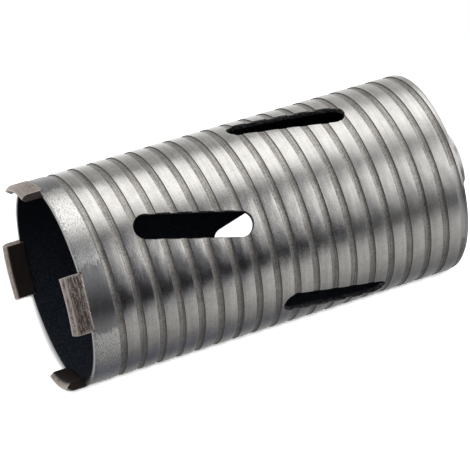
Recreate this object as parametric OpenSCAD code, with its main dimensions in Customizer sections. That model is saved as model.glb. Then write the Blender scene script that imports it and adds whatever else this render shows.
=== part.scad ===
// Dry diamond core bit: a slotted steel tube with a spiral groove, four
// crowned cutting segments on its front rim, and a welded back plate that
// carries a threaded hub. It stands on its segments, with its axis on +Z.
// All lengths are in millimetres and all angles in degrees.

/* [Barrel] */
// Outer diameter of the steel tube
tube_d = 81.4; // [70:0.1:120]
// Wall thickness of the tube
tube_wall = 2; // [1.6:0.1:3]
// Length of the tube, from its front rim to its rear edge
tube_length = 157.5; // [150:0.5:220]

/* [Spiral groove] */
// Advance of the groove along the axis in one turn
groove_pitch = 8; // [6:0.5:12]
// Width of the groove
groove_width = 2.85; // [2:0.05:4]
// Depth of the groove
groove_depth = 0.4; // [0.2:0.05:0.8]
// Distance from the front rim to the middle of the groove's first end
groove_start = 8.65; // [6:0.05:20]
// Angle about the axis of the groove's first end
groove_start_angle = -115; // [-180:5:180]

/* [Slots] */
// Length of each slot over its round ends
slot_length = 46.4; // [30:0.2:48]
// Width of each slot
slot_width = 9.8; // [6:0.2:12]
// Lean of each slot away from the axis
slot_slant = 14.8; // [0:0.2:25]
// Number of slots in each of the two rows
slots_per_row = 3; // [2:1:4]
// Distance from the front rim to the middle of the front row
front_row_place = 48; // [40:0.2:50]
// Distance from the front rim to the middle of the rear row
rear_row_place = 101.2; // [100:0.2:110]
// Angle about the axis of the front row's first slot
front_row_angle = -23; // [-60:0.2:60]
// Angle about the axis of the rear row's first slot
rear_row_angle = -72; // [-120:0.2:0]

/* [Segments] */
// Length of each segment along its outer arc
segment_length = 23.5; // [16:0.5:30]
// Full height of each segment along the axis
segment_height = 8.5; // [7:0.25:12]
// Radial thickness of each segment
segment_thickness = 3.25; // [2.8:0.05:4.5]
// How far each segment stands outside the tube
segment_stand_out = 0.3; // [0.1:0.05:0.6]
// How deep each segment sits in its notch in the rim
segment_seat = 1; // [0.5:0.1:3]
// Height of the slopes on both sides of the segment's crown
crown_height = 1.7; // [0.5:0.1:2.5]
// Width of the narrow land on top of the crown
crown_land = 0.5; // [0.3:0.1:1]
// Bevel on the rear corners of each segment
segment_corner = 0.7; // [0.3:0.1:1]
// Gap between each end of a segment and its notch
notch_gap = 0.15; // [0.05:0.05:0.4]

/* [Back plate] */
// Thickness of the back plate
plate_thickness = 6; // [4:0.5:10]
// Leg of the ring weld that joins the plate to the tube
plate_weld_leg = 1.6; // [1:0.1:2.5]

/* [Hub] */
// Outer diameter of the hub
hub_d = 32; // [28:0.5:40]
// Height of the hub behind the back plate
hub_height = 12.5; // [10:0.5:30]
// Diameter of the hub's spigot, which passes through the back plate
spigot_d = 26; // [24:0.5:27]
// Core diameter of the hub's female thread
thread_core_d = 18.63; // [16:0.01:21]
// Width of the chamfer at each end of the thread
thread_chamfer = 1.2; // [0.5:0.1:1.5]
// Width across the two wrench flats
flats_width = 27; // [26:0.5:27.5]
// Angle about the axis that the first flat faces
flats_angle = 43; // [-90:1:90]
// Bevel on the hub's rear edge
hub_bevel = 0.8; // [0.3:0.1:1.5]
// Leg of the fillet weld that joins the hub to the plate
hub_weld_leg = 2.6; // [1.5:0.1:4]

/* [Hidden] */
$fn = 96;

steel = [0.66, 0.66, 0.65];
plate_steel = [0.45, 0.46, 0.47];
hub_steel = [0.70, 0.69, 0.66];
weld_metal = [0.40, 0.38, 0.36];
sintered = [0.52, 0.47, 0.44];

// A cutter passes through the surfaces that it opens by this much
overcut = 1;
// Straight steps of the groove's walls in one turn
groove_steps = 30;
segment_count = 4;

tube_r = tube_d / 2;
bore_r = tube_r - tube_wall;
rim_z = segment_height - segment_seat;
rear_z = rim_z + tube_length;
plate_z = rear_z - plate_thickness;
hub_end_z = rear_z + hub_height;

segment_r = tube_r + segment_stand_out;
segment_bore_r = segment_r - segment_thickness;
segment_mid_r = segment_r - segment_thickness / 2;
segment_angle = arc_angle(segment_length, segment_r);
notch_angle = segment_angle + 2 * arc_angle(notch_gap, tube_r);

groove_floor_r = tube_r - groove_depth;
// Radius of the groove cutter, whose straight steps stay outside the tube
groove_cut_r = (tube_r + overcut) / cos(180 / groove_steps);
// The groove runs out through the rear edge of the tube
groove_rise = tube_length - groove_start + groove_width;
groove_count = ceil(groove_rise / groove_pitch * groove_steps);

hub_weld_top_z = rear_z + hub_weld_leg;

// Angle that an arc of the given length takes at radius r
function arc_angle(length, r) = length / r * 180 / PI;

// Corners of the groove cutter's rectangular section at one step
function groove_section(step) =
    let (
        turn = step / groove_steps,
        angle = groove_start_angle + 360 * turn,
        z = rim_z + groove_start + groove_pitch * turn,
        inner_r = groove_floor_r - overcut / 2,
        half = groove_width / 2
    )
    [
        for (corner = [
            [inner_r, -half], [groove_cut_r, -half],
            [groove_cut_r, half], [inner_r, half]
        ])
        [corner[0] * cos(angle), corner[0] * sin(angle), z + corner[1]]
    ];

// Two triangles for each of the four sides between two sections
function groove_sides(step) = [
    for (side = [0:3], half = [0, 1])
    let (
        a = 4 * step + side,
        b = 4 * step + (side + 1) % 4
    )
    half == 0 ? [a, b, b + 4] : [a, b + 4, a + 4]
];

// A rectangular section carried along a right-hand helix
module groove_ribbon() {
    points = [for (step = [0:groove_count]) each groove_section(step)];
    sides = [for (step = [0:groove_count - 1]) each groove_sides(step)];
    last = 4 * groove_count;
    ends = [[3, 2, 1, 0], [last, last + 1, last + 2, last + 3]];
    polyhedron(points, concat(sides, ends), convexity = 20);
}

// The groove's cutter, hollowed so that the groove's floor is a true cylinder
module groove_cutter() {
    difference() {
        groove_ribbon();
        cylinder(r = groove_floor_r, h = 2 * rear_z);
    }
}

// A ring about the axis, from z_low to z_high
module ring(inner_r, outer_r, z_low, z_high) {
    translate([0, 0, z_low])
        difference() {
            cylinder(r = outer_r, h = z_high - z_low);
            translate([0, 0, -overcut])
                cylinder(r = inner_r, h = z_high - z_low + 2 * overcut);
        }
}

// One slanted slot with round ends, cut along the radius at +X
module slot_cutter() {
    depth = tube_wall + 6 * overcut;
    reach = slot_length / 2 - slot_width / 2;
    translate([bore_r - 3 * overcut, 0, 0])
        rotate([-slot_slant, 0, 0])
            union() {
                for (side = [-1, 1])
                    translate([0, 0, side * reach])
                        rotate([0, 90, 0])
                            cylinder(d = slot_width, h = depth);
                translate([0, -slot_width / 2, -reach])
                    cube([depth, slot_width, 2 * reach]);
            }
}

// Both rows of slots
module slot_cutters() {
    rows = [
        [front_row_place, front_row_angle],
        [rear_row_place, rear_row_angle]
    ];
    for (row = rows, copy = [0:slots_per_row - 1])
        translate([0, 0, rim_z + row[0]])
            rotate([0, 0, row[1] + copy * 360 / slots_per_row])
                slot_cutter();
}

// A sector of a ring with the given section, centred on +X
module sector(angle) {
    rotate([0, 0, -angle / 2])
        rotate_extrude(angle = angle)
            children();
}

// The notches in the front rim that hold the segments
module notch_cutters() {
    for (copy = [0:segment_count - 1])
        rotate([0, 0, copy * 360 / segment_count])
            sector(notch_angle)
                translate([bore_r - overcut, rim_z - overcut])
                    square([tube_wall + 2 * overcut, segment_seat + overcut]);
}

// Slotted and grooved tube
module barrel() {
    color(steel)
        difference() {
            ring(bore_r, tube_r, rim_z, rear_z);
            groove_cutter();
            slot_cutters();
            notch_cutters();
        }
}

// Disc that closes the tube's rear end, bored for the hub's spigot and
// bevelled for its ring weld
module back_plate() {
    color(plate_steel)
        rotate_extrude()
            polygon([
                [spigot_d / 2, plate_z],
                [bore_r, plate_z],
                [bore_r, rear_z - plate_weld_leg],
                [bore_r - plate_weld_leg, rear_z],
                [spigot_d / 2, rear_z]
            ]);
}

// Ring of weld metal between the tube and the plate, ground flush
module plate_weld() {
    color(weld_metal)
        rotate_extrude()
            polygon([
                [bore_r, rear_z - plate_weld_leg],
                [bore_r, rear_z],
                [bore_r - plate_weld_leg, rear_z]
            ]);
}

// The two cuts that leave the hub's wrench flats, clear of its weld
module flat_cutters() {
    for (side = [0, 180])
        rotate([0, 0, flats_angle + side])
            translate([flats_width / 2, -hub_d, hub_weld_top_z + overcut / 2])
                cube([hub_d, 2 * hub_d, hub_height]);
}

// Turned hub with a spigot, a through thread and two wrench flats
module hub() {
    core_r = thread_core_d / 2;
    color(hub_steel)
        difference() {
            rotate_extrude()
                polygon([
                    [core_r + thread_chamfer, plate_z],
                    [spigot_d / 2, plate_z],
                    [spigot_d / 2, rear_z],
                    [hub_d / 2, rear_z],
                    [hub_d / 2, hub_end_z - hub_bevel],
                    [hub_d / 2 - hub_bevel, hub_end_z],
                    [core_r + thread_chamfer, hub_end_z],
                    [core_r, hub_end_z - thread_chamfer],
                    [core_r, plate_z + thread_chamfer]
                ]);
            flat_cutters();
        }
}

// Fillet of weld metal around the foot of the hub
module hub_weld() {
    color(weld_metal)
        rotate_extrude()
            polygon([
                [hub_d / 2, rear_z],
                [hub_d / 2 + hub_weld_leg, rear_z],
                [hub_d / 2, hub_weld_top_z]
            ]);
}

// Section of a segment: a block with a crowned front, standing on z = 0
module segment_section() {
    polygon([
        [segment_bore_r, crown_height],
        [segment_mid_r - crown_land / 2, 0],
        [segment_mid_r + crown_land / 2, 0],
        [segment_r, crown_height],
        [segment_r, segment_height],
        [segment_bore_r, segment_height]
    ]);
}

// Bevels on the two rear corners of a segment
module corner_cutters() {
    reach = 2 * segment_corner;
    for (side = [-1, 1])
        rotate([0, 0, side * segment_angle / 2])
            translate([segment_bore_r - overcut, 0, segment_height])
                rotate([-45 * side, 0, 0])
                    translate([0, -reach, -segment_corner / sqrt(2)])
                        cube([segment_thickness + 2 * overcut, 2 * reach, reach]);
}

// One cutting segment, the given number of places round from +X
module segment(place) {
    color(sintered)
        rotate([0, 0, place * 360 / segment_count])
            difference() {
                sector(segment_angle)
                    segment_section();
                corner_cutters();
            }
}

barrel();
back_plate();
plate_weld();
hub();
hub_weld();
segment(0);  // segment_1
segment(1);  // segment_2
segment(2);  // segment_3
segment(3);  // segment_4
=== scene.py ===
"""Diamond core bit: a grooved and slotted steel tube with four sintered segments
on its rim, closed by a welded plate with a threaded hub. All lengths in metres."""

import math

import bpy
import numpy as np
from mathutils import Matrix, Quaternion, Vector


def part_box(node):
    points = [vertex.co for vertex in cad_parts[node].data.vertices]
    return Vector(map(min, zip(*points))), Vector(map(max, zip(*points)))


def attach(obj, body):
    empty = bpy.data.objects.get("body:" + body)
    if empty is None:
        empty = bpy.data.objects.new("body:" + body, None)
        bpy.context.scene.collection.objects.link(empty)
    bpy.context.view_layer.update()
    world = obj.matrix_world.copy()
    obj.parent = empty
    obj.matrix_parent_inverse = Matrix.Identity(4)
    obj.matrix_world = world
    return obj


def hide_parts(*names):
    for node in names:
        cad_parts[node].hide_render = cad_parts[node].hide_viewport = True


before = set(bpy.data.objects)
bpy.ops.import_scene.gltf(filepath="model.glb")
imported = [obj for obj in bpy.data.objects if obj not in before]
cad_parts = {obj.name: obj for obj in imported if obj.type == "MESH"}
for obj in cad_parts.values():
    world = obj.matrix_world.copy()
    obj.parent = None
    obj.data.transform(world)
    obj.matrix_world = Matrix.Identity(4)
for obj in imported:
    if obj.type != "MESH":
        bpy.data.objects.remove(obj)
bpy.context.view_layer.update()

MM = 0.001
TURN = 2 * math.pi

# Sizes that the frame gives
tube_r = round(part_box("barrel")[1].x, 5)
rim_z = round(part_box("barrel")[0].z, 5)
rear_z = round(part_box("barrel")[1].z, 5)
plate_z = round(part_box("back_plate")[0].z, 5)
hub_r = round(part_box("hub")[1].y, 5)
hub_end_z = round(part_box("hub")[1].z, 5)
hub_weld_r = round(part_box("hub_weld")[1].x, 5)
hub_weld_top_z = round(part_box("hub_weld")[1].z, 5)
segment_r = round(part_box("segment_1")[1].x, 5)
segment_top_z = round(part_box("segment_1")[1].z, 5)
segment_half_width = round(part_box("segment_1")[1].y, 5)

# Barrel
tube_wall = 2 * MM
bore_r = tube_r - tube_wall
edge_break = 0.18 * MM
rear_break = 0.9 * MM
rear_drop = 0.28 * MM

# Spiral groove
groove_pitch = 8 * MM
groove_width = 2.85 * MM
half_groove = groove_width / 2
groove_depth = 0.4 * MM
groove_start = 8.65 * MM
groove_start_angle = math.radians(-115)
groove_ramp_turns = 0.012
groove_end_turns = 18.28

# Slots
slot_length = 46.4 * MM
slot_width = 9.8 * MM
slot_slant = math.radians(14.8)
slots_per_row = 3
slot_rows = [(48 * MM, math.radians(-23)), (101.2 * MM, math.radians(-72))]

# Segments
segment_count = 4
segment_thickness = 3.25 * MM
crown_height = 1.7 * MM
crown_land = 0.5 * MM
segment_corner = 0.7 * MM
notch_gap = 0.15 * MM
segment_angle = 2 * math.asin(segment_half_width / segment_r)
segment_step = TURN / segment_count
notch_angle = segment_angle + 2 * notch_gap / tube_r
segment_rough = 0.03 * MM
segment_edge = 0.12 * MM

# Back plate and hub
plate_weld_leg = 1.6 * MM
spigot_r = 13 * MM
thread_core_r = 18.63 / 2 * MM
thread_major_r = 20.955 / 2 * MM
thread_pitch = 1.814 * MM
thread_chamfer = 1.2 * MM
flats_width = 27 * MM
flats_angle = math.radians(43)
hub_bevel = 0.8 * MM

# Place that the lamps and the tent are set round
studio_middle = Vector((0, 0, 0.09))

# Camera: its direction from the object, and in the picture the ways aside from and along the axis
camera_azimuth = math.radians(-14.65)
camera_elevation = math.radians(-18)
view_tilt = -math.tan(camera_elevation)
view_back = Vector((math.cos(camera_azimuth), math.sin(camera_azimuth), -view_tilt)).normalized()
view_aside = Vector((-math.sin(camera_azimuth), math.cos(camera_azimuth), 0))
view_along = Vector((view_tilt * math.cos(camera_azimuth), view_tilt * math.sin(camera_azimuth), 1))


class Value:
    """A number or colour on a surface. Arithmetic on it adds Math nodes to its finish."""

    def __init__(self, finish, socket):
        self.finish = finish
        self.socket = socket

    def maths(self, operation, *numbers):
        return self.finish.add("ShaderNodeMath", {"operation": operation}, dict(enumerate(numbers)))

    def __add__(self, other):
        return self.maths("ADD", self, other)

    def __sub__(self, other):
        return self.maths("SUBTRACT", self, other)

    def __rsub__(self, other):
        return self.maths("SUBTRACT", other, self)

    def __mul__(self, other):
        return self.maths("MULTIPLY", self, other)

    def __truediv__(self, other):
        return self.maths("DIVIDE", self, other)

    def __rtruediv__(self, other):
        return self.maths("DIVIDE", other, self)

    def __pow__(self, other):
        return self.maths("POWER", self, other)

    def __mod__(self, other):
        return self.maths("FLOORED_MODULO", self, other)

    def __abs__(self):
        return self.maths("ABSOLUTE", self)

    __radd__ = __add__
    __rmul__ = __mul__


class Finish:
    """The nodes of a material, or of a world."""

    def __init__(self, name, world=False):
        self.owner = bpy.data.worlds.new(name) if world else bpy.data.materials.new(name)
        self.owner.use_nodes = True
        self.tree = self.owner.node_tree
        self.tree.nodes.clear()

    @property
    def place(self):
        """Object coordinates."""
        return self.add("ShaderNodeTexCoord", output="Object")

    def add(self, kind, settings=None, inputs=None, output=0):
        """Any node: its type, its settings, then a value or a link for each socket."""
        node = self.tree.nodes.new(kind)
        for name, value in (settings or {}).items():
            setattr(node, name, value)
        for key, value in (inputs or {}).items():
            if isinstance(value, Value):
                self.tree.links.new(value.socket, node.inputs[key])
            else:
                node.inputs[key].default_value = value
        return Value(self, node.outputs[output]) if node.outputs else node

    def noise(self, scale, detail=3.0, roughness=0.55, place=None):
        """Noise from 0 to 1 on Object coordinates, with one scale for each axis, per metre."""
        inputs = {0: place or self.place, 1: scale}
        scaled = self.add("ShaderNodeVectorMath", {"operation": "MULTIPLY"}, inputs)
        inputs = {"Vector": scaled, "Scale": 1.0, "Detail": detail, "Roughness": roughness}
        return self.add("ShaderNodeTexNoise", {}, inputs)

    def step(self, value, low, high):
        """A smooth step from 0 at low to 1 at high."""
        settings = {"interpolation_type": "SMOOTHSTEP"}
        return self.add("ShaderNodeMapRange", settings, {0: value, 1: low, 2: high})

    def mix(self, share, first, second):
        """The first colour where the share is 0, the second where it is 1."""
        settings = {"data_type": "RGBA"}
        inputs = {0: share, 6: first, 7: second}
        return self.add("ShaderNodeMix", settings, inputs, output=2)

    def bump(self, height, depth, under=None):
        """A normal from a height of 0 to 1 that stands for the given depth in metres."""
        inputs = {"Height": height, "Distance": depth, "Strength": 1.0}
        if under is not None:
            inputs["Normal"] = under
        return self.add("ShaderNodeBump", {}, inputs)

    def axis_place(self):
        """Angle about the axis, distance from it and height."""
        x, y, z = [self.add("ShaderNodeSeparateXYZ", {}, {0: self.place}, n) for n in range(3)]
        return x.maths("ARCTAN2", y, x), (x * x + y * y) ** 0.5, z

    def around_place(self):
        """A place made of the way round the axis, the height and the distance from the axis."""
        angle, distance, height = self.axis_place()
        inputs = {0: angle * tube_r, 1: height, 2: distance}
        return self.add("ShaderNodeCombineXYZ", {}, inputs)

    def groove_place(self):
        """Turns along the groove of the nearest pass, and distance from its middle."""
        angle, _, z = self.axis_place()
        turn = ((angle - groove_start_angle) / TURN) % 1
        passed = (z - (rim_z + groove_start)) / groove_pitch - turn
        nearest = passed.maths("ROUND", passed)
        return nearest + turn, (passed - nearest) * groove_pitch

    def distance_along(self, direction):
        """How far a point lies along a direction."""
        inputs = {0: self.place, 1: direction}
        return self.add("ShaderNodeVectorMath", {"operation": "DOT_PRODUCT"}, inputs, "Value")

    def attribute(self, name):
        """A number that the mesh holds for each point."""
        return self.add("ShaderNodeAttribute", {"attribute_name": name}, output="Fac")

    def principled(self, **inputs):
        """The shader, with its inputs named as on its sockets but with _ for a space."""
        named = {name.replace("_", " "): value for name, value in inputs.items()}
        return self.add("ShaderNodeBsdfPrincipled", {}, named)

    def turned_metal(self, tone, roughness, stretch, normal):
        """Metal with marks round the axis, which stretch its reflections along the axis."""
        return self.principled(
            Base_Color=tone,
            Metallic=1.0,
            Roughness=roughness,
            Anisotropic=stretch,
            Anisotropic_Rotation=0.25,
            Normal=normal,
        )

    def done(self, shader, output="ShaderNodeOutputMaterial"):
        """Joins the shader to the output, and gives the material or world."""
        self.add(output, {}, {"Surface": shader})
        return self.owner


def colour(red, green, blue):
    return (red, green, blue, 1.0)


def turned_land():
    """Bright steel between the grooves, turned round the axis, with a painted highlight at its
    edges, and duller towards the rear."""
    finish = Finish("turned_land")
    _, beside = finish.groove_place()
    _, _, height = finish.axis_place()
    line = finish.noise((14, 14, 4200), detail=2)
    streak = finish.noise((22, 22, 1100), detail=3)
    speck = finish.noise((1500, 1500, 1500), detail=3, roughness=0.6)
    cloud = finish.noise((210, 210, 210), detail=4)
    wave = finish.noise((45, 45, 110), detail=2)
    ripple = finish.noise((150, 150, 200), detail=1)
    # Painted highlight: the colour is lightened along the edges of the lands beside the groove
    painted_edge_highlight = finish.step(abs(beside), half_groove + 0.35 * MM, half_groove)
    rear = finish.step(height, rim_z + 60 * MM, rear_z - 10 * MM)
    shade = finish.step(0.35 * cloud + 0.3 * streak + 0.35 * speck, 0.30, 0.70)
    tone = finish.mix(shade, colour(0.60, 0.588, 0.562), colour(0.88, 0.863, 0.828))
    tone = finish.mix(painted_edge_highlight * 0.3, tone, colour(0.92, 0.91, 0.88))
    normal = finish.bump(line * 0.5 + streak * 0.5, 0.004 * MM)
    normal = finish.bump(speck, 0.022 * MM, normal)
    normal = finish.bump(wave, 0.3 * MM, normal)
    normal = finish.bump(ripple, 0.03 * MM, normal)
    roughness = 0.165 + 0.07 * cloud + 0.05 * speck + 0.11 * rear
    return finish.done(finish.turned_metal(tone, roughness, 0.5, normal))


def front_band():
    """Front of the tube. Behind each segment it is ground smooth after the joint was made, up to an
    edge of ragged strokes. In between it keeps a finer, speckled finish."""
    finish = Finish("front_band")
    angle, _, z = finish.axis_place()
    around = finish.around_place()
    between = abs((angle / segment_step + 0.5) % 1 - 0.5) * (segment_step * tube_r)
    stroke = finish.noise((260, 2300, 0), detail=4, roughness=0.6, place=around)
    blotch = finish.noise((420, 420, 420), detail=3)
    ground = finish.step(between + 9 * MM * stroke + 5 * MM * blotch, 21.4 * MM, 19.6 * MM)
    speck = finish.noise((900, 2200, 0), detail=4, roughness=0.7, place=around)
    fleck = finish.step(speck, 0.40, 0.56)
    near_rim = finish.step(z, rim_z + 3.2 * MM, rim_z)
    dull = finish.step(fleck + 0.9 * blotch - 0.5 * near_rim, 0.15, 1.15)
    tone = finish.mix(dull, colour(0.40, 0.395, 0.38), colour(0.88, 0.87, 0.845))
    normal = finish.bump(speck, 0.035 * MM)
    speckled = finish.turned_metal(tone, 0.36 - 0.10 * fleck, 0.4, normal)
    brushed = finish.noise((140, 3800, 0), detail=3, place=around)
    grain = finish.noise((1900, 1900, 1900), detail=3)
    marks = 0.6 * brushed + 0.4 * grain
    shade = finish.step(marks, 0.3, 0.7)
    tone = finish.mix(shade, colour(0.30, 0.30, 0.305), colour(0.50, 0.50, 0.50))
    normal = finish.bump(marks, 0.012 * MM)
    smooth = finish.turned_metal(tone, 0.27 + 0.10 * blotch, 0.4, normal)
    return finish.done(finish.add("ShaderNodeMixShader", {}, {0: ground, 1: speckled, 2: smooth}))


def groove_floor():
    """Matt floor of the groove, rougher and browner than the lands, darker at its rear side with
    dirt and painted shade in the corner.
    """
    finish = Finish("groove_floor")
    _, beside = finish.groove_place()
    line = finish.noise((18, 18, 3300), detail=3)
    grain = finish.noise((1500, 1500, 1500), detail=4, roughness=0.65)
    cloud = finish.noise((150, 150, 150), detail=3)
    # Dirt and painted shade: the floor is darkened next to its rear wall
    corner_shade_and_dirt = finish.step(beside, half_groove - 0.9 * MM, half_groove)
    shade = finish.step(0.35 * line + 0.45 * grain + 0.2 * cloud, 0.32, 0.68)
    tone = finish.mix(shade, colour(0.16, 0.150, 0.140), colour(0.65, 0.618, 0.578))
    tone = finish.mix(corner_shade_and_dirt * 0.45, tone, colour(0.12, 0.11, 0.105))
    normal = finish.bump(line * 0.5 + grain * 0.5, 0.04 * MM)
    return finish.done(finish.turned_metal(tone, 0.35 + 0.10 * grain, 0.3, normal))


def groove_wall_shade_and_dirt():
    """Walls of the groove, dark with painted shade of the corner and dirt."""
    finish = Finish("groove_wall_shade_and_dirt")
    grain = finish.noise((900, 900, 900), detail=3)
    # Painted shade with dirt: the walls are coloured nearly black
    tone = finish.mix(grain, colour(0.04, 0.038, 0.037), colour(0.13, 0.125, 0.12))
    return finish.done(finish.principled(Base_Color=tone, Metallic=0.3, Roughness=0.6))


def bore_paint():
    """Blue-black paint inside the tube with fine dust, painted lighter on one side as light that
    falls in through the mouth.
    """
    finish = Finish("bore_paint")
    side = finish.add("ShaderNodeSeparateXYZ", {}, {0: finish.place}, output=1)
    cloud = finish.noise((60, 60, 60), detail=4)
    dust = finish.noise((1300, 1300, 1300), detail=3, roughness=0.7)
    # Painted light: one side of the bore is made lighter, and its dust shows there
    painted_light_side = finish.step(side + 12 * MM * cloud, -26 * MM, 44 * MM)
    shade = painted_light_side * (0.35 + 1.1 * finish.step(dust, 0.40, 0.75))
    tone = finish.mix(shade, colour(0.001, 0.002, 0.005), colour(0.034, 0.042, 0.057))
    return finish.done(finish.principled(
        Base_Color=tone,
        Roughness=0.75,
        Specular_IOR_Level=0.12,
        Normal=finish.bump(dust, 0.02 * MM),
    ))


def cut_wall():
    """Walls of the slots, dark with paint that is worn through in spots, and lighter towards the
    outside of the tube.
    """
    finish = Finish("cut_wall")
    grain = finish.noise((900, 900, 900), detail=4, roughness=0.7)
    _, distance, _ = finish.axis_place()
    worn = finish.step(grain + 0.08 * finish.step(distance, bore_r, tube_r), 0.47, 0.66)
    tone = finish.mix(worn, colour(0.008, 0.010, 0.016), colour(0.085, 0.082, 0.078))
    return finish.done(finish.principled(
        Base_Color=tone,
        Metallic=0.4,
        Roughness=0.5,
        Normal=finish.bump(grain, 0.03 * MM),
    ))


def rim_edge():
    """Ends of the tube, faced bright."""
    finish = Finish("rim_edge")
    grain = finish.noise((1200, 1200, 1200), detail=3)
    tone = finish.mix(grain, colour(0.42, 0.41, 0.40), colour(0.72, 0.71, 0.70))
    return finish.done(finish.principled(Base_Color=tone, Metallic=1.0, Roughness=0.38))


def sintered_metal():
    """Pitted metal of the segments: streaked along the arc, with a painted highlight towards the
    edges, darkened by painted shade on the inner side, and by soot and painted shade on the ends."""
    finish = Finish("sintered_metal")
    around = finish.around_place()
    edge = finish.attribute("edge")
    wear = finish.attribute("wear")
    soot = finish.attribute("soot")
    # Painted highlight: lighter colour towards the segment's edges
    painted_edge_highlight = finish.step(edge, 0.8, 1.0)
    streak = finish.noise((300, 1700, 1700), detail=4, roughness=0.7, place=around)
    pits = finish.noise((1700, 2100, 2100), detail=3, roughness=0.7, place=around)
    cloud = finish.noise((260, 260, 260), detail=3)
    height = 0.6 * streak + 0.4 * pits + 0.14 * edge * edge + 0.12 * wear
    hollow = finish.step(height, 0.59, 0.48)
    tone = finish.mix(cloud, colour(0.36, 0.30, 0.27), colour(0.61, 0.53, 0.485))
    tone = finish.mix(hollow * 0.9, tone, colour(0.075, 0.058, 0.05))
    tone = finish.mix(painted_edge_highlight * 0.6, tone, colour(0.86, 0.78, 0.73))
    # Painted shade on the inner side, and soot with painted shade on the ends: the colour turns
    # nearly black
    tone = finish.mix(soot, tone, colour(0.06, 0.045, 0.04))
    return finish.done(finish.principled(
        Base_Color=tone,
        Metallic=0.85,
        Roughness=0.42 + 0.2 * hollow,
        Normal=finish.bump(pits * 0.5 + streak * 0.5, 0.06 * MM),
    ))


def plate_steel():
    """Turned face of the back plate, with fine rings round the axis and tinted by heat inside."""
    finish = Finish("plate_steel")
    _, distance, height = finish.axis_place()
    place = finish.add("ShaderNodeCombineXYZ", {}, {0: distance, 1: height})
    rings = finish.noise((2600, 900, 0), detail=2, place=place)
    broad = finish.noise((380, 100, 0), detail=2, place=place)
    cloud = finish.noise((90, 90, 90), detail=4)
    shade = 0.5 * cloud + 0.5 * broad
    tone = finish.mix(shade, colour(0.36, 0.365, 0.37), colour(0.60, 0.60, 0.595))
    warm = finish.step(distance + 5 * MM * cloud, hub_weld_r + 7.5 * MM, hub_weld_r + 2.5 * MM)
    tone = finish.mix(warm * 0.6, tone, colour(0.30, 0.24, 0.185))
    normal = finish.bump(rings, 0.02 * MM)
    return finish.done(finish.turned_metal(tone, 0.30 + 0.1 * cloud, 0.5, normal))


def hub_steel():
    """Steel of the turned hub."""
    finish = Finish("hub_steel")
    fine = finish.noise((20, 20, 4200), detail=2)
    cloud = finish.noise((220, 220, 220), detail=3)
    tone = finish.mix(cloud, colour(0.58, 0.57, 0.55), colour(0.76, 0.75, 0.73))
    normal = finish.bump(fine, 0.006 * MM)
    return finish.done(finish.turned_metal(tone, 0.27 + 0.1 * cloud, 0.5, normal))


def weld_metal():
    """Rippled weld, tinted by heat."""
    finish = Finish("weld_metal")
    cloud = finish.noise((300, 300, 300), detail=4)
    tone = finish.mix(cloud, colour(0.20, 0.18, 0.165), colour(0.42, 0.40, 0.38))
    return finish.done(finish.principled(
        Base_Color=tone,
        Metallic=0.8,
        Roughness=0.4 + 0.2 * cloud,
        Normal=finish.bump(cloud, 0.05 * MM),
    ))


def quads(ids):
    """Quads between neighbouring entries of a 2-D array of point numbers."""
    corners = [ids[:-1, :-1], ids[1:, :-1], ids[1:, 1:], ids[:-1, 1:]]
    return np.stack(corners, -1).reshape(-1, 4)


def looped(ids, axis):
    """The array with its first entry repeated at the end, so that its quads close."""
    return np.concatenate([ids, np.take(ids, [0], axis)], axis)


def about_axis(radius, angle, height):
    """Points at a radius and an angle about the axis, at a height."""
    return np.stack(np.broadcast_arrays(radius * np.cos(angle), radius * np.sin(angle), height), -1)


def piece(name, points, faces, materials, kinds=None, sharp_angle=math.radians(32), values=()):
    """A smooth-shaded object from points and quads. Points that lie together are merged, and
    each quad becomes two triangles, of which those with two corners in one place are left out.
    The values are names with a number for each point, which the mesh keeps."""
    points = points.reshape(-1, 3)
    kinds = np.zeros(len(faces), int) if kinds is None else kinds
    whole = np.round(points / 1e-8).astype(np.int64)
    unique, first, ids = np.unique(whole, axis=0, return_index=True, return_inverse=True)
    faces = ids.reshape(-1)[faces]
    triangles = np.concatenate([faces[:, [0, 1, 2]], faces[:, [0, 2, 3]]])
    kinds = np.concatenate([kinds, kinds])
    a, b, c = triangles.T
    kept = (a != b) & (b != c) & (c != a)
    mesh = bpy.data.meshes.new(name)
    mesh.from_pydata(unique * 1e-8, [], triangles[kept])
    for material in materials:
        mesh.materials.append(material)
    mesh.polygons.foreach_set("material_index", kinds[kept].astype(np.int32))
    mesh.polygons.foreach_set("use_smooth", np.ones(kept.sum(), bool))
    mesh.set_sharp_from_angle(angle=sharp_angle)
    for label, numbers in values:
        held = mesh.attributes.new(label, "FLOAT", "POINT")
        held.data.foreach_set("value", numbers.reshape(-1)[first].astype(np.float32))
    made = bpy.data.objects.new(name, mesh)
    bpy.context.scene.collection.objects.link(made)
    return made


def dress(made, node):
    """Lets a piece stand for a CAD node."""
    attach(made, "root")
    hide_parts(node)
    return made


# Section of the groove: distance from its middle, and depth below the tube's surface. The land
# beside it is crowned as a parabola
land_crown = 0.06 * MM
floor_start, floor_end = 0.12 * MM - half_groove, half_groove - 0.20 * MM
groove_profile = np.array([
    [-groove_pitch / 2, 0.0],
    [-half_groove - 1.70 * MM, 0.12 * land_crown],
    [-half_groove - 0.90 * MM, 0.42 * land_crown],
    [-half_groove - 0.30 * MM, 0.78 * land_crown],
    [-half_groove - 0.03 * MM, land_crown],
    [-half_groove + 0.02 * MM, 0.13 * MM],
    [-half_groove + 0.05 * MM, groove_depth - 0.04 * MM],
    [floor_start, groove_depth],
    [floor_end, groove_depth],
    [half_groove - 0.05 * MM, groove_depth - 0.04 * MM],
    [half_groove - 0.02 * MM, 0.13 * MM],
    [half_groove + 0.03 * MM, land_crown],
    [half_groove + 0.30 * MM, 0.78 * land_crown],
    [half_groove + 0.90 * MM, 0.42 * land_crown],
    [half_groove + 1.70 * MM, 0.12 * land_crown],
])


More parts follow.
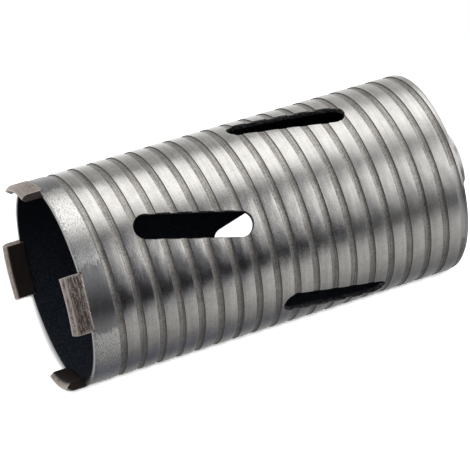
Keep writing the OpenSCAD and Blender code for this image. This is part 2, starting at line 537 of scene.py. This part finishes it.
def groove_place(turn, z):
    """Number of turns along the groove of the nearest pass, and distance from its middle."""
    passed = (z - rim_z - groove_start) / groove_pitch - turn
    nearest = np.round(passed)
    return nearest + turn, (passed - nearest) * groove_pitch


def surface_radius(turn, z):
    """The tube's outer radius less the groove's depth, which starts from nothing on a ramp."""
    along, across = groove_place(turn, z)
    profile = np.vstack([groove_profile, [groove_pitch / 2, 0.0]])
    depth = np.interp(across, profile[:, 0], profile[:, 1])
    return tube_r - depth * np.clip(along / groove_ramp_turns, 0, 1)


# Materials of the barrel, by their place in its list
LAND, FLOOR, WALL, BORE, END, BAND = range(6)


def barrel_shell(materials, columns=240, bore_rows=24):
    """The tube without its cuts. Each row of its outside follows the groove: its height is the
    start of the groove, plus one pitch a turn, plus a place in the groove's section, held
    between the two ends. After one turn a row goes on as the same row one pitch higher."""
    turn = np.arange(columns)[:, None] / columns
    angle = groove_start_angle + TURN * turn
    passes = np.arange(-3, math.ceil((rear_z - rim_z) / groove_pitch) + 2)
    across = (groove_pitch * passes[:, None] + groove_profile[:, 0]).reshape(-1)
    low, high = rim_z + edge_break, rear_z - rear_break
    z = np.clip(rim_z + groove_start + groove_pitch * turn + across, low, high)
    outside = about_axis(surface_radius(turn, z), angle, z)

    rim = about_axis(np.array([[bore_r + 0.8 * MM, tube_r - edge_break]]), angle, rim_z)
    rear_r = np.minimum(surface_radius(turn, rear_z), tube_r - rear_drop)
    rear = about_axis(rear_r, angle, rear_z)
    bore = about_axis(bore_r, angle, np.linspace(rear_z, rim_z, bore_rows)[None, :])

    rows = outside.shape[1]
    count = rows + 3 + bore_rows
    ids = np.arange(columns * count).reshape(columns, count)
    points = np.concatenate([outside, rear, bore, rim], 1)
    shift = len(groove_profile)
    last = ids[0].copy()
    last[:rows] = ids[0][np.minimum(np.arange(rows) + shift, rows - 1)]
    around = looped(np.vstack([ids, last]), 1)
    faces = quads(around)

    along, beside = groove_place(turn, (z[:, :-1] + z[:, 1:]) / 2)
    cut = along >= 0
    in_groove = cut & (np.abs(beside) < half_groove + 0.01 * MM)
    on_floor = cut & (beside > floor_start - 0.05 * MM) & (beside < floor_end)
    in_front = (along < 0) | ((along < 1) & (beside < -half_groove))
    run_out = (along > groove_end_turns) & (beside > -0.3 * MM)
    kinds = np.full((columns, count), LAND)
    for places, kind in ((in_front, BAND), (in_groove, WALL), (on_floor, FLOOR), (run_out, END)):
        kinds[:, : rows - 1][places] = kind
    kinds[:, rows - 1 : rows + 1] = END
    kinds[:, rows + 1 : rows + bore_rows + 1] = BORE
    kinds[:, rows + bore_rows + 1 :] = END
    return piece("barrel_body", points, faces, materials, kinds.reshape(-1))


def slot_cutter(place_z, angle, points_around=96):
    """A slanted oblong carried along the radius. Its outline grows by a bevel where it leaves
    the tube's surface, whose distance along the radius is the root of radius squared less
    the sideways distance squared."""
    around = -np.linspace(0, TURN, points_around, endpoint=False)
    reach = (slot_length - slot_width) / 2
    growth = np.array([0, 0, 2, 2, 2]) * edge_break
    radius = slot_width / 2 + growth[:, None]
    side = radius * np.cos(around)
    along = radius * np.sin(around) + reach * np.sign(np.sin(around - 1e-9))
    y = side * math.cos(slot_slant) + along * math.sin(slot_slant)
    z = -side * math.sin(slot_slant) + along * math.cos(slot_slant)
    surface = np.sqrt(tube_r**2 - y**2)
    inner = np.full(points_around, bore_r - 3 * MM)
    outer = np.full(points_around, tube_r + 3 * MM)
    x = np.stack([inner, surface[1] - edge_break, surface[2] + edge_break, outer, outer])
    grid = np.stack([x, y, z], -1)
    ends = [grid[:1].mean(1, keepdims=True), grid[-1:].mean(1, keepdims=True)]
    poles = [np.repeat(end, points_around, 1) for end in ends]
    grid = np.concatenate([poles[0], grid, poles[1]])
    cos, sin = math.cos(angle), math.sin(angle)
    turned = np.array([[cos, sin, 0], [-sin, cos, 0], [0, 0, 1]])
    return grid @ turned + [0, 0, rim_z + place_z]


def swept_grid(section, angles):
    """A closed section of (radius, height) points carried round the axis through the angles, with
    a pole in the middle of the section at each end."""
    grid = about_axis(section[None, :, 0], angles[:, None], section[None, :, 1])
    middle = section.mean(0)
    poles = about_axis(middle[0], angles[[0, -1], None], middle[1]).repeat(len(section), 1)
    return np.concatenate([poles[:1], grid, poles[1:]])


def notch_cutter(angle):
    """A block of the notch's section, carried through the notch's angle."""
    low, high = rim_z - MM, segment_top_z
    section = np.array([
        [bore_r - MM, low],
        [tube_r + MM, low],
        [tube_r + MM, high],
        [bore_r - MM, high],
    ])
    return swept_grid(section, angle + np.linspace(-0.5, 0.5, 49) * notch_angle)


def cutter_object(grids, material):
    """All the cutters in one object."""
    points, faces, start = [], [], 0
    for grid in grids:
        ids = start + np.arange(grid.shape[0] * grid.shape[1]).reshape(grid.shape[:2])
        points.append(grid.reshape(-1, 3))
        faces.append(quads(looped(ids, 1)))
        start += ids.size
    return piece("cutters", np.concatenate(points), np.concatenate(faces), [material])


def cut(body, cutters):
    """Takes the cutters away from the body and keeps the result as its mesh."""
    modifier = body.modifiers.new("cuts", "BOOLEAN")
    modifier.operation = "DIFFERENCE"
    modifier.solver = "MANIFOLD"
    modifier.material_mode = "TRANSFER"
    modifier.object = cutters
    seen = body.evaluated_get(bpy.context.evaluated_depsgraph_get())
    mesh = bpy.data.meshes.new_from_object(seen)
    body.modifiers.clear()
    body.data = mesh
    mesh.name = body.name
    bpy.data.objects.remove(cutters)
    mesh.polygons.foreach_set("use_smooth", np.ones(len(mesh.polygons), bool))
    mesh.set_sharp_from_angle(angle=math.radians(32))


def make_barrel():
    """The tube with its slots and notches."""
    outside = [turned_land(), groove_floor(), groove_wall_shade_and_dirt()]
    body = barrel_shell(outside + [bore_paint(), rim_edge(), front_band()])
    grids = []
    for place_z, first_angle in slot_rows:
        for copy in range(slots_per_row):
            grids.append(slot_cutter(place_z, first_angle + copy * TURN / slots_per_row))
    for copy in range(segment_count):
        grids.append(notch_cutter(copy * TURN / segment_count))
    cut(body, cutter_object(grids, cut_wall()))
    dress(body, "barrel")


def lattice_noise(points, cell, seed):
    """Smooth noise from -1 to 1: a value for each corner of a cubic lattice, worked out from the
    corner's numbers, and blended with a smooth step between the eight corners round a point."""
    scaled = points / cell
    base = np.floor(scaled).astype(np.int64)
    part = scaled - base
    blend = part * part * (3 - 2 * part)
    total = np.zeros(points.shape[:-1])
    for corner in np.ndindex(2, 2, 2):
        x, y, z = np.moveaxis((base + corner) * [73856093, 19349663, 83492791], -1, 0)
        mixed = x ^ y ^ z ^ seed * 2971215073
        mixed = (mixed ^ (mixed >> 13)) * 1274126177 & 0xFFFFFFFF
        value = ((mixed ^ (mixed >> 16)) & 0xFFFF) / 32767.5 - 1
        weight = np.prod(np.where(corner, blend, 1 - blend), -1)
        total += weight * value
    return total


def rounded(corners, radii, steps=5):
    """The outline of a polygon with its corners rounded: each corner is a curve between the points
    at its radius along both sides, the second-degree curve with the corner as its middle point."""
    corners, radii = np.array(corners), np.array(radii)[:, None]
    before = np.roll(corners, 1, 0) - corners
    after = np.roll(corners, -1, 0) - corners
    start = corners + radii * before / np.linalg.norm(before, axis=1, keepdims=True)
    end = corners + radii * after / np.linalg.norm(after, axis=1, keepdims=True)
    t = np.linspace(0, 1, steps)[None, :, None]
    start, middle, end = start[:, None], corners[:, None], end[:, None]
    curve = (1 - t) ** 2 * start + 2 * t * (1 - t) * middle + t**2 * end
    return curve.reshape(-1, 2)


def spread(outline, gap):
    """The closed outline with points added so that none are further apart than the gap."""
    closed = np.vstack([outline, outline[:1]])
    lengths = np.linalg.norm(np.diff(closed, axis=0), axis=1)
    pieces = np.maximum(1, np.ceil(lengths / gap)).astype(int)
    knots = np.arange(len(closed))
    at = np.concatenate([k + np.arange(n) / n for k, n in zip(knots, pieces)])
    return np.stack([np.interp(at, knots, closed[:, axis]) for axis in (0, 1)], -1)


def segment_section(inner, outer, low, high):
    """The crowned outline of a segment with its edges rounded, and its corners before that."""
    ridge = (inner + outer) / 2
    corners = np.array([
        [inner, crown_height + low],
        [ridge - crown_land / 2, low],
        [ridge + crown_land / 2, low],
        [outer, crown_height + low],
        [outer, high],
        [inner, high],
    ])
    radii = np.array([0.5, 0.22, 0.22, 0.8, 0.2, 0.2]) * MM
    return spread(rounded(corners, radii), 0.16 * MM), corners


def segment_rings(half, size, body_rings=132, end_rings=14):
    """The angle and the scale of each ring of a segment. Those at an end grow from nothing on the
    end's face, then go round its edge."""
    lift = np.array([0.0, 0.29, 0.62, 1.0]) * segment_edge / segment_r
    shrink = np.array([1.0, 0.71, 0.32, 0.0]) * segment_edge
    face = np.linspace(0, 1, end_rings)[:-1]
    starts = np.concatenate([np.full(len(face), -half), -half + lift])
    scales = np.concatenate([(1 - segment_edge / size) * face, 1 - shrink / size])
    body = np.linspace(-half, half, body_rings)[3:-3]
    angles = np.concatenate([starts, body, -starts[::-1]])
    return angles, np.concatenate([scales, np.ones(len(body)), scales[::-1]])


# For each segment, from 0 to 1: how far its pits are worn away, and the soot and painted shade on
# its far end
segment_wear = (0.0, 0.4, 0.4, 0.7)
far_end_soot_and_painted_shade = (0.0, 0.0, 0.0, 0.6)


def make_segment(number, materials):
    """The crowned section with rounded edges, carried along the arc. Towards each end the rear
    edge is bevelled, and the last rings shrink towards the middle of the section to close the end.
    At its rear the outside is ground down to the tube together with the joint, more so at the
    ends. Its values are the nearness to an edge, the painted shade and soot, and the wear."""
    inner = segment_r - segment_thickness + segment_rough
    outer = segment_r - segment_rough
    high = segment_top_z - segment_rough
    section, corners = segment_section(inner, outer, segment_rough, high)
    middle = section.mean(0)
    size = np.linalg.norm(section - middle, axis=1).mean()
    half = segment_angle / 2 - segment_rough / segment_r
    angles, scales = segment_rings(half, size)
    grid = middle + scales[:, None, None] * (section - middle)
    radius, z = grid[..., 0], grid[..., 1]

    way = angles[:, None] * segment_r
    on_body = (scales > 0.99)[:, None]
    outside = (radius > (inner + outer) / 2) & on_body
    wobble = lattice_noise(np.stack([way, 0 * way, 0 * way], -1), 0.8 * MM, 50 + number)
    bare = rim_z + (0.35 + 0.75 * np.abs(way / segment_half_width) ** 3 + 0.2 * wobble) * MM
    ground = np.clip((z - bare) / (0.25 * MM), 0, 1)

    from_end = (1 - scales) * size
    to_corner = np.linalg.norm(section[:, None] - corners, axis=-1).min(1)
    to_end = np.maximum((half - np.abs(angles)) * segment_r, from_end)[:, None]
    reach = np.where(on_body, np.minimum(to_corner, to_end), to_end)
    reach = np.where(outside, np.minimum(reach, np.abs(bare - z)), reach)
    edge = np.clip(1 - reach / (2 * MM), 0, 1)
    # Soot and painted shade on the ends: full at the end of lower angle, and at the other end as
    # the table gives
    end_soot_and_painted_shade = np.where(angles < 0, 1.0, far_end_soot_and_painted_shade[number - 1])
    end_soot_and_painted_shade = end_soot_and_painted_shade * np.clip(from_end / (0.2 * MM), 0, 1)
    # Painted shade on the inner side, the side that faces the axis
    soot = np.clip((inner + 0.5 * MM - radius) / (0.4 * MM), 0, 1)
    soot = np.maximum(soot, end_soot_and_painted_shade[:, None])
    wear = np.full(radius.shape, segment_wear[number - 1])

    tube_level = outer - (segment_r - tube_r) * ground
    radius = np.where(outside, np.minimum(radius, tube_level), radius)
    over = np.abs(angles)[:, None] * radius - (segment_half_width - segment_corner)
    z = np.minimum(z, high - np.maximum(0, over))
    points = about_axis(radius, angles[:, None] + (number - 1) * segment_step, z)
    for cell in (0.9 * MM, 0.35 * MM):
        offset = [lattice_noise(points, cell, 10 * number + axis) for axis in range(3)]
        points = points + 0.5 * segment_rough * np.stack(offset, -1)
    ids = np.arange(points.shape[0] * points.shape[1]).reshape(points.shape[:2])
    ids[0], ids[-1] = ids[0, 0], ids[-1, 0]
    points[0], points[-1] = points[0].mean(0), points[-1].mean(0)

    brazed = looped((ground > 0) & outside, 1)
    kinds = brazed[:-1, :-1] & brazed[1:, :-1] & brazed[1:, 1:] & brazed[:-1, 1:]
    kinds = kinds.reshape(-1).astype(int)
    name = f"segment_{number}"
    values = [("edge", edge), ("soot", soot), ("wear", wear)]
    faces = quads(looped(ids, 1))
    made = piece(f"{name}_block", points, faces, materials, kinds, math.radians(40), values)
    dress(made, name)


def ring_piece(name, radius, angle, z, materials, kinds=None):
    """A closed ring from rows of radius and height at each angle, going up on the outside."""
    points = about_axis(radius, angle[:, None], z)
    ids = np.arange(points.shape[0] * points.shape[1]).reshape(points.shape[:2])
    faces = quads(looped(looped(ids, 0), 1))
    return piece(name, points, faces, materials, kinds)


def make_back_plate():
    """A disc with broken edges, bevelled for its weld."""
    corners = [
        [spigot_r, plate_z],
        [bore_r, plate_z],
        [bore_r, rear_z - plate_weld_leg],
        [bore_r - plate_weld_leg, rear_z],
        [spigot_r, rear_z],
    ]
    radii = np.array([0.2, 0.3, 0.1, 0.1, 0.2]) * MM
    radius, z = spread(rounded(corners, radii, 4), 1.5 * MM).T[:, None]
    angle = np.linspace(0, TURN, 180, endpoint=False)
    made = ring_piece("back_plate_disc", radius, angle, z, [plate_steel()])
    dress(made, "back_plate")


def make_plate_weld(material):
    """A ring weld whose face is a low dome with ripples, one every few degrees."""
    across = np.linspace(0, 1, 14)
    face_r = bore_r - 0.02 * MM - plate_weld_leg * across
    angle = np.linspace(0, TURN, 720, endpoint=False)
    ripples = 96
    phase = angle[:, None] * ripples + 2.2 * np.cos(np.pi * (across - 0.5)) * 2
    ripple = 0.5 + 0.5 * np.sin(phase)
    dome = np.sin(np.pi * across)
    z = rear_z - 0.03 * MM + dome * (0.10 + 0.10 * ripple) * MM
    radius = np.broadcast_to(face_r, z.shape)
    root_r = np.full((len(angle), 1), bore_r - 0.02 * MM)
    root_z = np.full((len(angle), 1), rear_z - plate_weld_leg)
    radius, z = np.hstack([root_r, radius]), np.hstack([root_z, z])
    made = ring_piece("plate_weld_bead", radius, angle, z, [material])
    dress(made, "plate_weld")


def make_hub_weld(material):
    """A fillet weld whose face runs from the plate to the hub in a shallow arc, with ripples."""
    leg = hub_weld_top_z - rear_z
    across = np.linspace(0, 1, 20)
    angle = np.linspace(0, TURN, 720, endpoint=False)
    ripples = 44
    bow = np.sin(np.pi * across)
    ripple = 0.5 + 0.5 * np.sin(angle[:, None] * ripples + 3.0 * bow)
    out = (0.06 + 0.12 * ripple) * MM * bow
    radius = hub_r + leg * (1 - across) * 0.985 + out * 0.7
    z = rear_z + leg * across * 0.985 + out * 0.7
    root_r = np.full((len(angle), 1), hub_r)
    root_z = np.full((len(angle), 1), rear_z)
    radius, z = np.hstack([root_r, radius]), np.hstack([root_z, z])
    made = ring_piece("hub_weld_bead", radius, angle, z, [material])
    dress(made, "hub_weld")


def make_hub():
    """A turned hub. Its bore follows the thread, whose radius is the core's plus a share of the
    thread's depth that goes up and down once a pitch, and its outside is cut by two flats."""
    even = np.linspace(0, TURN, 192, endpoint=False)
    half_flat = math.acos(flats_width / 2 / hub_r)
    edges = [flats_angle + turn + side * half_flat for turn in (0, math.pi) for side in (-1, 1)]
    angle = np.unique(np.concatenate([even, np.mod(edges, TURN)]))[:, None]

    shoulder_z = hub_weld_top_z + 0.5 * MM
    outside_z = np.concatenate([
        [rear_z, hub_weld_top_z, shoulder_z - 0.05 * MM, shoulder_z],
        np.linspace(shoulder_z + 0.05 * MM, hub_end_z - hub_bevel, 8),
    ])
    flat = flats_width / 2 / np.maximum(1e-6, np.abs(np.cos(angle - flats_angle)))
    outside_r = np.where(outside_z >= shoulder_z, np.minimum(hub_r, flat), hub_r)
    mouth_r = thread_core_r + thread_chamfer
    top_r = np.linspace(1, 0, 8)
    top_start = np.minimum(hub_r - hub_bevel, outside_r[:, -1:])
    top = mouth_r + (top_start - mouth_r) * top_r
    top_z = np.full(8, hub_end_z)

    thread_rows = 144
    thread_z = np.linspace(hub_end_z, plate_z, thread_rows)
    phase = np.mod(thread_z / thread_pitch - angle / TURN, 1)
    tooth = np.clip(1.25 - 3.0 * np.abs(phase - 0.5), 0, 1)
    bore = thread_core_r + (thread_major_r - thread_core_r) * tooth
    end = np.minimum(hub_end_z - thread_z, thread_z - plate_z)
    bore = np.maximum(bore, mouth_r - end)
    bottom = np.broadcast_to(np.linspace(mouth_r, spigot_r, 5), (len(angle), 5))
    spigot = np.broadcast_to([spigot_r], (len(angle), 1))

    radius = np.hstack([spigot, outside_r, top, bore, bottom])
    z = np.concatenate([[rear_z], outside_z, top_z, thread_z, np.full(5, plate_z)])
    made = ring_piece("hub_body", radius, angle[:, 0], z[None, :], [hub_steel()])
    dress(made, "hub")


def make_camera():
    """The photograph's camera: in front of the mouth, below the axis, turned about its view."""
    aim, distance, roll = Vector((-0.0012, 0.0026, 0.0833)), 0.9777, math.radians(72.97)
    data = bpy.data.cameras.new("camera")
    data.lens = 190.88
    data.sensor_width = 36
    data.clip_start, data.clip_end = 0.01, 100
    camera = bpy.data.objects.new("camera", data)
    camera.rotation_mode = "QUATERNION"
    camera.location = aim + view_back * distance
    camera.rotation_quaternion = view_back.to_track_quat("Z", "Y") @ Quaternion((0, 0, 1), roll)
    bpy.context.scene.collection.objects.link(camera)
    bpy.context.scene.camera = camera


# Brightness of the studio round the axis, as metal sees it: direction in degrees, level, and the
# share by which the level grows for each degree upwards
studio_levels = np.array([
    [0, 0.21, 0.22],
    [8, 0.10, 0.26],
    [16, 0.03, 0.36],
    [24, 0.002, 0.36],
    [32, 0.003, 0.25],
    [36, 0.16, 0.09],
    [46, 0.42, 0.05],
    [64, 0.43, 0.04],
    [80, 0.33, 0.03],
    [96, 0.20, 0.04],
    [112, 0.145, 0.05],
    [122, 0.145, 0.04],
    [136, 0.26, 0.03],
    [152, 0.37, 0.02],
    [165, 0.60, 0.0],
    [177, 0.88, 0.0],
    [186, 0.95, 0.0],
    [200, 0.61, 0.0],
    [214, 0.44, 0.02],
    [240, 0.35, 0.04],
    [245, 0.80, 0.02],
    [252, 1.12, 0.01],
    [262, 1.24, 0.01],
    [284, 1.26, 0.01],
    [296, 0.85, 0.02],
    [305, 0.46, 0.04],
    [313, 0.20, 0.06],
    [320, 0.33, 0.15],
    [330, 0.55, 0.15],
    [346, 0.48, 0.15],
    [360, 0.21, 0.22],
])

# Level well in front of the mouth
front_level = 0.55

# Lamps for the object: name, place, power and size
studio_lamps = [("key", (-0.2, -1.6, 0.6), 22, 1.2), ("fill", (1.5, -0.4, -0.3), 8, 1.2)]

# Lamp for the shadow: how its direction differs from the camera's, its distance, power and size
shadow_offset = Vector((-0.01276, -0.0493, 0.0522))
shadow_distance, shadow_power, shadow_size = 3.0, 1650, 0.40

# Wall behind the object, and the floor under it: half their sides
wall_normal = (0.642, -0.767, 0)
wall_distance = segment_r + 0.2 * MM
wall_reach, floor_reach = 0.24, 3.0


def make_tent():
    """A tall cylinder round the object that only reflections see. Its glow goes by direction round
    the axis and grows upwards, and is even and grey where it lies well in front of the mouth."""
    azimuth = np.linspace(0, 360, 721)[:, None]
    rise = np.linspace(-75, 75, 151)[None, :]
    radius = 3.0
    z = radius * np.tan(np.radians(rise)) + studio_middle.z
    points = about_axis(radius, np.radians(azimuth), z)
    level, growth = [np.interp(azimuth, studio_levels[:, 0], studio_levels[:, n]) for n in (1, 2)]
    level = level * np.exp(growth * np.clip(rise - 18.6, -14, 7))
    front = np.clip((-14 - rise) / 14, 0, 1)
    level = level + (front_level - level) * front * front * (3 - 2 * front)
    faces = quads(np.arange(level.size).reshape(level.shape))
    mesh = bpy.data.meshes.new("tent")
    mesh.from_pydata(points.reshape(-1, 3), [], faces)
    glow = mesh.attributes.new("glow", "FLOAT", "POINT")
    glow.data.foreach_set("value", level.reshape(-1).astype(np.float32))
    finish = Finish("tent_light")
    glow = finish.attribute("glow")
    tint = finish.mix(finish.step(glow, 0.0, 0.22), colour(0.74, 0.78, 1.32), colour(1, 1, 1))
    material = finish.done(finish.add("ShaderNodeEmission", {}, {"Color": tint, "Strength": glow}))
    material.cycles.emission_sampling = "NONE"
    mesh.materials.append(material)
    tent = bpy.data.objects.new("tent", mesh)
    tent.visible_camera = tent.visible_diffuse = tent.visible_shadow = False
    tent.visible_transmission = False
    bpy.context.scene.collection.objects.link(tent)


def floor_finish(name, paint_level, glow_level=None):
    """White that glows, so that it stays white and keeps a soft shadow. It is seen from its upper
    side only. Without a level it glows only where the tube hides it from the camera, apart from
    what shows through a slot. There the place aside is less than the tube's radius, and the place
    along lies between the tube's ends, which swell by the root of radius squared less the place
    aside squared. In front of the tube's front end it also has a little painted shadow."""
    finish = Finish(name)
    paint = colour(paint_level, paint_level, paint_level)
    if glow_level is None:
        aside, along = finish.distance_along(view_aside), finish.distance_along(view_along)
        within = finish.step(abs(aside), 41.0 * MM, 39.6 * MM)
        swell = view_tilt * aside.maths("MAXIMUM", tube_r**2 - aside * aside, 0.0) ** 0.5
        middle = (rim_z + rear_z) / 2
        outside = abs(along - middle) - swell - (rear_z - rim_z) / 2
        glow_level = within * finish.step(outside, -0.4 * MM, -1.8 * MM)
        # Painted shadow: the wall's paint is darkened just in front of the tube's front end
        front = finish.step(along, middle, middle - 5 * MM) * finish.step(aside, -45 * MM, 5 * MM)
        shade = finish.step(outside, 3.4 * MM, -0.6 * MM) * front * within
        paint = finish.mix(shade * 0.85, paint, colour(0, 0, 0))
    glow = finish.add("ShaderNodeEmission", {}, {"Color": colour(1, 1, 1), "Strength": glow_level})
    paint = finish.add("ShaderNodeBsdfDiffuse", {}, {"Color": paint})
    white = finish.add("ShaderNodeAddShader", {}, {0: glow, 1: paint})
    clear = finish.add("ShaderNodeBsdfTransparent")
    behind = finish.add("ShaderNodeNewGeometry", output="Backfacing")
    shown = finish.add("ShaderNodeMixShader", {}, {0: behind, 1: white, 2: clear})
    material = finish.done(shown)
    material.cycles.emission_sampling = "NONE"
    return material


def make_floor(name, normal, distance, size, material):
    """A square plane with the given normal, at that distance from the axis or the origin."""
    normal = np.array(normal) / np.linalg.norm(normal)
    side = np.cross(normal, [0, 0, 1]) if abs(normal[2]) < 0.9 else np.array([1.0, 0, 0])
    side = side / np.linalg.norm(side)
    other = np.cross(normal, side)
    steps = np.array([[-1, -1], [1, -1], [1, 1], [-1, 1]]) * size
    points = normal * distance + steps[:, :1] * side + steps[:, 1:] * other
    mesh = bpy.data.meshes.new(name)
    mesh.from_pydata(points, [], [[0, 1, 2, 3]])
    mesh.materials.append(material)
    floor = bpy.data.objects.new(name, mesh)
    floor.visible_glossy = False
    bpy.context.scene.collection.objects.link(floor)
    return floor


def make_world():
    """White where the camera, reflections and glass see it, and softer as a light."""
    finish = Finish("studio", world=True)
    rays = ("Is Camera Ray", "Is Glossy Ray", "Is Transmission Ray")
    camera, glossy, through = [finish.add("ShaderNodeLightPath", output=ray) for ray in rays]
    seen = camera.maths("MAXIMUM", camera.maths("MAXIMUM", camera, glossy), through)
    inputs = {"Color": colour(1, 1, 1), "Strength": 0.35 + 0.65 * seen}
    light = finish.add("ShaderNodeBackground", {}, inputs)
    bpy.context.scene.world = finish.done(light, "ShaderNodeOutputWorld")


def make_lamp(name, place, power, size):
    """A soft square lamp that points at the middle of the object and isn't seen in metal."""
    data = bpy.data.lights.new(name, "AREA")
    data.energy = power
    data.shape = "SQUARE"
    data.size = size
    lamp = bpy.data.objects.new(name, data)
    lamp.location = Vector(place)
    lamp.rotation_mode = "QUATERNION"
    lamp.rotation_quaternion = (lamp.location - studio_middle).to_track_quat("Z", "Y")
    lamp.visible_glossy = False
    lamp.visible_camera = False
    bpy.context.scene.collection.objects.link(lamp)
    return lamp


def light_group(name, objects):
    """A collection that says which objects a lamp lights or is blocked by."""
    group = bpy.data.collections.new(name)
    for member in objects:
        group.objects.link(member)
    return group


def make_lamps(parts, wall, floor):
    """Two soft lamps for the object, and a small one near the camera that lights only the wall
    behind the object, so that a narrow soft shadow shows below the object and left of it."""
    lit = light_group("lit_by_studio", parts + [floor])
    for name, place, power, size in studio_lamps:
        make_lamp(name, place, power, size).light_linking.receiver_collection = lit
    direction = (view_back + shadow_offset).normalized()
    place = Vector((0, 0, 0.08)) + shadow_distance * direction
    lamp = make_lamp("shadow", place, shadow_power, shadow_size)
    lamp.light_linking.receiver_collection = light_group("lit_wall", [wall])
    lamp.light_linking.blocker_collection = light_group("shadow_makers", parts)


make_camera()
make_barrel()
make_back_plate()
weld = weld_metal()
make_plate_weld(weld)
make_hub_weld(weld)
make_hub()
block_finishes = [sintered_metal(), bpy.data.materials["front_band"]]
for number in range(1, segment_count + 1):
    make_segment(number, block_finishes)

parts = [made for made in bpy.data.objects if made.type == "MESH"]

make_world()
make_tent()
wall_white, floor_white = floor_finish("white_wall", 0.1), floor_finish("white_floor", 0.8, 0.55)
wall = make_floor("lying_floor", wall_normal, -wall_distance, wall_reach, wall_white)
floor = make_floor("standing_floor", (0, 0, 1), 0.0, floor_reach, floor_white)
make_lamps(parts, wall, floor)

bpy.context.scene.view_settings.view_transform = "Standard"
